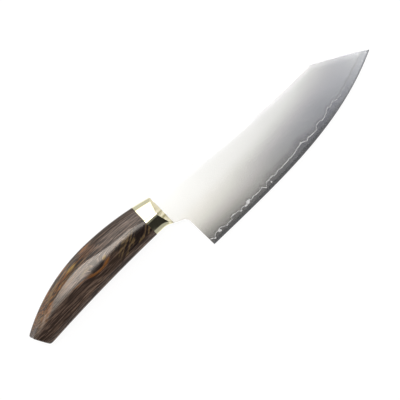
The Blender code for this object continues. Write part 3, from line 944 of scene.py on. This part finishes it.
brassLook = {"tones": ((0.84, 0.80, 0.55), (0.87, 0.83, 0.59)), "roughness": (0.06, 0.11)}
resinLook = {"tones": ((0.55, 0.43, 0.26), (0.68, 0.57, 0.38)), "roughness": (0.30, 0.50)}
woodLook = {
    "black": (0.012, 0.009, 0.009),
    "dark": (0.026, 0.016, 0.012),
    "umber": (0.085, 0.056, 0.045),
    "brown": (0.245, 0.163, 0.120),
    "pale": (0.320, 0.240, 0.195),
    "rust": (0.330, 0.130, 0.035),
    "amber": (0.230, 0.155, 0.068),
    "gold": (0.620, 0.400, 0.110),
    "grainArc": 300.0,  # how the grain follows the back, in mm
    "swirlLean": -0.65,  # how steeply the strokes near the bolster rise
    "roughness": (0.17, 0.22),
    "grains": {  # length along the handle and width across it, in mm, then detail and seed
        "broad": (70, 3.0, 2, 1),
        "bands": (34, 1.2, 1, 7),
        "lines": (14, 0.62, 1, 17),
        "fine": (30, 0.25, 1, 13),
        "pores": (3, 0.2, 1, 29),
        "swirl": (25, 1.8, 2, 43),
    },
    # Zones, in mm over the heel: where each fades in or out along X, then by height
    "paleZone": ((-70.0, -36.0), (43.0, 48.0), (57.5, 54.5)),
    "umberZone": (43.0, 41.5),  # by height alone
    "backZone": ((-78.0, -48.0), (56.6, 58.2)),
    "turnedZone": ((-46.0, -38.0), (35.0, 37.0), (45.5, 44.0)),
    "buttZone": ((-48.0, -92.0), (47.0, 53.0)),
    "buttLift": (-104.0, -120.0, 0.0, 4.5),  # that one reaches lower at the butt
    "knot": ((-66.5, 43.4, 0.0), (9.0, 3.3, 60.0)),  # centre over the heel and half sizes
    "streaks": (  # centre over the heel, half sizes and lean in degrees, with the tone
        (-80.5, 54.6, 5.0, 1.2, 6, "gold"), (-86.0, 53.4, 7.0, 0.6, 8, "rust"),
        (-59.0, 44.8, 2.4, 1.2, 8, "gold"), (-65.0, 58.0, 6.0, 0.8, 2, "rust"),
        (-113.0, 43.5, 12.0, 2.2, 22, "rust"), (-84.0, 43.0, 8.0, 0.45, -2, "rust"),
        # the pale streak at -118 mm is painted highlight, where the leaf's end by the butt catches the
        # light
        (-75.0, 46.5, 7.0, 1.2, 4, "amber"), (-118.0, 41.5, 7.0, 1.3, 28, "pale"),
        (-66.0, 37.6, 5.0, 0.7, 0, "black"), (-100.0, 52.0, 10.0, 1.0, 20, "amber"),
        # the black streak at -46 mm runs along the leaf's lower crease: painted shade in the crease
        (-46.0, 42.0, 4.0, 1.2, -4, "black"),
    ),
}


def makeBrass():
    material, tree, shader = newMaterial("polishedBrass", {"Metallic": 1.0})
    place = heelCoordinates(tree)
    lines = useGroup(tree, grindLines, Vector=place, Fineness=0.5, Run=9.0)
    haze = cloudMask(tree, place, 5.0, 0.6)
    colour = mixColours(tree, haze, *brassLook["tones"])
    rough = remap(tree, haze, 0.0, 1.0, *brassLook["roughness"])
    dress(tree, shader, colour, rough, lines["Height"], 0.02, 0.00002)
    return material


# One long soft streak, leaning from the handle's length, and each point's reach in it: most are the wood's
# figure, one is painted highlight and one painted shade
def makeStreak():
    inputs = {"Vector": None, "Centre": None, "Size": None, "Lean": 0.0, "Grain": 0.5}
    group, start, end = newGroup("grainAndLightStreak", inputs, ["Mask", "Reach"])
    reach = reachFrom(group, start["Vector"], start["Centre"], start["Size"], start["Lean"])
    feed(group, end["Reach"], reach)
    feed(group, end["Mask"], remap(group, raggedReach(group, reach, start["Grain"], 1.6), 1.15, 0.35))
    return group


grainAndLightStreak = makeStreak()


# The wood's height across the grain: it follows the back, wanders and parts round the knot
def grainAcross(tree, place, x, y, knotReach):
    fromCrest = plus(tree, x, -1000 * handleShape["crestX"])
    square = times(tree, fromCrest, fromCrest)
    across = plus(tree, y, times(tree, square, 1 / woodLook["grainArc"], remap(tree, y, 36.0, 58.0)))
    across = plus(tree, across, remap(tree, addNoise(tree, place, 0.03, 1.0), 0.3, 0.7, -0.7, 0.7))
    return plus(tree, across, remap(tree, knotReach, 1.6, 0.3, 0.0, 3.0))


def makeWood():
    sheen = {"IOR": 1.5, "Specular Tint": (1.0, 0.95, 0.90, 1.0)}
    material, tree, shader = newMaterial("darkWood", sheen)
    place = heelCoordinates(tree)
    split = axes(tree, place)
    x, y = split["X"], split["Y"]
    centre, size = woodLook["knot"]
    knotReach = useGroup(tree, grainAndLightStreak, Vector=place, Centre=centre, Size=size)["Reach"]
    across = grainAcross(tree, place, x, y, knotReach)
    rising = plus(tree, y, times(tree, x, woodLook["swirlLean"]))

    def grain(kind, height=across):
        runLength, width, detail, seed = woodLook["grains"][kind]
        depth = plus(tree, times(tree, split["Z"], 0.5 / width), seed)
        inputs = {0: times(tree, x, 1 / runLength), 1: times(tree, height, 1 / width), 2: depth}
        return addNoise(tree, addNode(tree, "CombineXYZ", inputs).outputs[0], 1.0, detail, 0.55)

    def share(value, *span):
        return remap(tree, value, *span)

    def both(*shares):
        return times(tree, *shares)

    broad, bands, lines = grain("broad"), grain("bands"), grain("lines")
    fine, pores, swirl = grain("fine"), grain("pores"), grain("swirl", rising)

    # Paler behind the bolster, umber along the belly, dark along the back
    along, above, below = woodLook["paleZone"]
    front = both(share(x, *along), share(y, *above), share(y, *below))
    pale = both(share(broad, 0.44, 0.70, 0.0, 0.5), share(y, 36.0, 46.0, 0.4))
    pale = plus(tree, pale, both(front, 0.45))
    along, above = woodLook["backZone"]
    back = both(share(across, *above), share(x, *along, 0.0, 0.7))
    layers = [
        (share(bands, 0.56, 0.38, 0.0, 0.7), "dark"),
        (both(pale, share(lines, 0.36, 0.56, 0.1, 1.0)), "pale"),
        (share(y, *woodLook["umberZone"], 0.0, 0.25), "umber"),
        (back, "dark"),
    ]

    # Slanting strokes low behind the bolster
    along, above, below = woodLook["turnedZone"]
    edge = plus(tree, y, both(doMath(tree, "SUBTRACT", bands, 0.5), 6.0))
    turned = share(plus(tree, x, both(swirl, 16.0)), *along)
    turned = both(turned, share(edge, *above), share(edge, *below))
    layers += [
        (both(turned, share(swirl, 0.49, 0.57), 0.8), "amber"),
        (both(turned, share(swirl, 0.52, 0.45), 0.9), "black"),
    ]

    # Rust, amber and black stripes toward the butt
    along, above = woodLook["buttZone"]
    lifted = plus(tree, across, share(x, *woodLook["buttLift"]))
    towardButt = both(share(x, *along), share(lifted, *above))
    layers += [
        (both(towardButt, share(lines, 0.42, 0.56, 0.0, 0.95)), "rust"),
        (both(towardButt, share(bands, 0.50, 0.60, 0.0, 0.7)), "amber"),
        (both(towardButt, share(lines, 0.54, 0.40, 0.1, 0.8)), "black"),
    ]

    for streakX, streakY, halfLong, halfWide, lean, tone in woodLook["streaks"]:
        mask = useGroup(
            tree, grainAndLightStreak, Vector=place, Centre=(streakX, streakY, 0.0), Size=(halfLong, halfWide, 60.0),
            Lean=math.radians(-lean), Grain=bands,
        )["Mask"]
        layers.append((both(mask, 0.75), tone))

    # The knot with a rust rim on its lower side, then the finest lines and the pores
    rim = both(share(knotReach, 0.66, 0.86), share(knotReach, 1.30, 1.05), share(y, 44.2, 41.5))
    layers += [
        (share(knotReach, 0.80, 0.50, 0.0, 0.85), "black"),
        (both(rim, share(lines, 0.38, 0.58, 0.35, 1.0)), "rust"),
        (share(fine, 0.60, 0.42, 0.0, 0.6), "dark"),
        (share(pores, 0.40, 0.30, 0.0, 0.85), "black"),
    ]
    colour = mixColours(tree, share(lines, 0.44, 0.58), woodLook["dark"], woodLook["brown"])
    for amount, tone in layers:
        colour = mixColours(tree, amount, colour, woodLook[tone])
    dress(tree, shader, colour, share(fine, 0.3, 0.7, *woodLook["roughness"]), lines, 0.06, 0.0001)
    return material


def makeResin():
    material, tree, shader = newMaterial("curedResin", {})
    mask = cloudMask(tree, heelCoordinates(tree), 2.0, 0.6)
    rough = remap(tree, mask, 0.0, 1.0, *resinLook["roughness"])
    dress(tree, shader, mixColours(tree, mask, *resinLook["tones"]), rough)
    return material


# Putting the knife together

claddingSteel = makeSteel("satinCladding", "cladding", addStain)
coreSteel = makeSteel("edgeSteel", "core", addPaintedEndHighlight)
coreEnd = edgeLength - bladeShape["tipBlunting"]
makeLayer("edge_core", "blade_core", coreEnd, coreRows, 1, coreSteel)
for side, sideName in ((1, "right"), (-1, "left")):
    name, node = "satin_cladding_" + sideName, "cladding_" + sideName
    makeLayer(name, node, claddingEnd(), claddingRows, side, claddingSteel)
makeBolster(makeBrass())
makeHandle(makeWood())
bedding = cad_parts["tang_bedding"]
bedding.data.materials.clear()
bedding.data.materials.append(makeResin())
print("knife dressed")


# Floor, light and camera

studio = {
    "floorSize": 3.0,
    "floorTone": 0.12,
    "floorGlow": 0.92,
    "cameraTurn": math.radians(-43.8),
    "cameraTarget": (-0.00273, -0.00193),
    "frameWidth": 0.2678,
    "lens": 200,
    "sensor": 36,
}
allAcross = (-1.30, -1.20, 1.20, 1.30)  # spans that panels share; this one fades nowhere
overhead = (-0.027, 0.0, 0.32, 0.42)
lowStrip = (-0.117, -0.05, -0.027, 0.0)
cornerRise = (-0.90, -0.80, -0.25, -0.15)
sky = {
    "base": 0.03,
    "panels": (  # colour and strength, then where each fades in and out along X and Y, in a unit direction
        ((0.88, 0.84, 0.65), allAcross, overhead),  # overhead, on the spine's side
        ((1.00, 1.10, 1.40), (-0.165, -0.105, 0.04, 0.12), (0.0, 0.03, 0.30, 0.40)),  # its brighter middle
        ((12.4, 11.8, 11.0), (-0.165, -0.115, 0.055, 0.105), (0.105, 0.145, 0.22, 0.30)),  # window
        ((8.00, 7.60, 7.10), (0.055, 0.105, 0.12, 0.16), (0.135, 0.165, 0.22, 0.30)),  # its dimmer end
        ((1.67, 1.60, 1.43), (-1.30, -1.20, 0.02, 0.04), lowStrip),  # strip by the handle
        ((3.40, 3.46, 3.30), (0.126, 0.146, 0.35, 0.50), lowStrip),  # strip past the tip
        ((0.00, 0.03, 0.42), (0.08, 0.14, 1.20, 1.30), overhead),  # cooler overhead past the tip
        ((0.00, 0.02, 0.12), (0.02, 0.04, 0.12, 0.139), lowStrip),  # cool gap between the strips
        ((0.85, 0.87, 0.93), (0.095, 0.15, 0.50, 0.70), (-0.24, -0.15, -0.12, -0.047)),  # cool fill below
        ((0.20, 0.20, 0.20), allAcross, (-0.45, -0.38, -0.22, -0.14)),  # faint fill for the edge
        ((0.65, 0.65, 0.65), allAcross, (0.32, 0.42, 0.48, 0.58)),  # dim gap
        ((0.65, 0.65, 0.65), allAcross, (0.48, 0.58, 1.20, 1.30)),  # wall on the spine's side
        ((1.25, 1.25, 1.25), (-0.60, -0.45, 0.45, 0.60), (0.48, 0.58, 0.77, 0.87)),  # its brighter middle
        ((0.62, 0.58, 0.46), (0.75, 0.85, 1.20, 1.30), (-0.50, -0.40, 0.40, 0.50)),  # wall past the tip
        ((0.45, 0.45, 0.45), allAcross, (-1.30, -1.20, -0.94, -0.86)),  # wall on the edge's side
        ((0.40, 0.40, 0.40), (-1.30, -1.20, -0.55, -0.40), cornerRise),  # its corner by the butt
        ((0.40, 0.40, 0.40), (0.40, 0.55, 1.20, 1.30), cornerRise),  # its corner by the tip
    ),
}


# A light table: a floor that glows a little, so that the knife throws only a faint shadow
def makeFloor():
    startFresh()
    bpy.ops.mesh.primitive_plane_add(size=studio["floorSize"], location=(0, 0, cadBox[0][2] - 0.0002))
    floor = nameNew("floor")
    sockets = {
        "Base Color": (*[studio["floorTone"]] * 3, 1),
        "Roughness": 0.9,
        "Emission Color": (1, 1, 1, 1),
        "Emission Strength": studio["floorGlow"],
    }
    floor.data.materials.append(newMaterial("paleFloor", sockets)[0])


# A studio of soft panels round the knife, as a sky
def makeSky():
    world = bpy.data.worlds.new("studioSky")
    scene.world = world
    world.use_nodes = True
    tree = world.node_tree
    split = axes(tree, addNode(tree, "TexCoord").outputs["Generated"])

    def band(axis, start, full, fade, gone):
        return times(tree, remap(tree, split[axis], start, full), remap(tree, split[axis], gone, fade))

    total = addNode(tree, "CombineXYZ", {axis: sky["base"] for axis in range(3)}).outputs[0]
    for colour, spanX, spanY in sky["panels"]:
        shape = times(tree, band("X", *spanX), band("Y", *spanY))
        lit = addNode(tree, "VectorMath", {0: colour, "Scale": shape}, operation="SCALE")
        total = vectorMath(tree, "ADD", total, lit.outputs[0])
    tree.links.new(total, tree.nodes["Background"].inputs["Color"])


def makeCamera():
    startFresh()
    distance = studio["frameWidth"] * studio["lens"] / studio["sensor"]
    x, y = studio["cameraTarget"]
    bpy.ops.object.camera_add(location=(x, y, heel.z + distance), rotation=(0, 0, studio["cameraTurn"]))
    camera = bpy.context.object
    camera.data.lens = studio["lens"]
    camera.data.sensor_width = studio["sensor"]
    camera.data.clip_end = 20
    scene.camera = camera


makeFloor()
makeSky()
makeCamera()
scene.view_settings.view_transform = "Standard"
print("studio set")
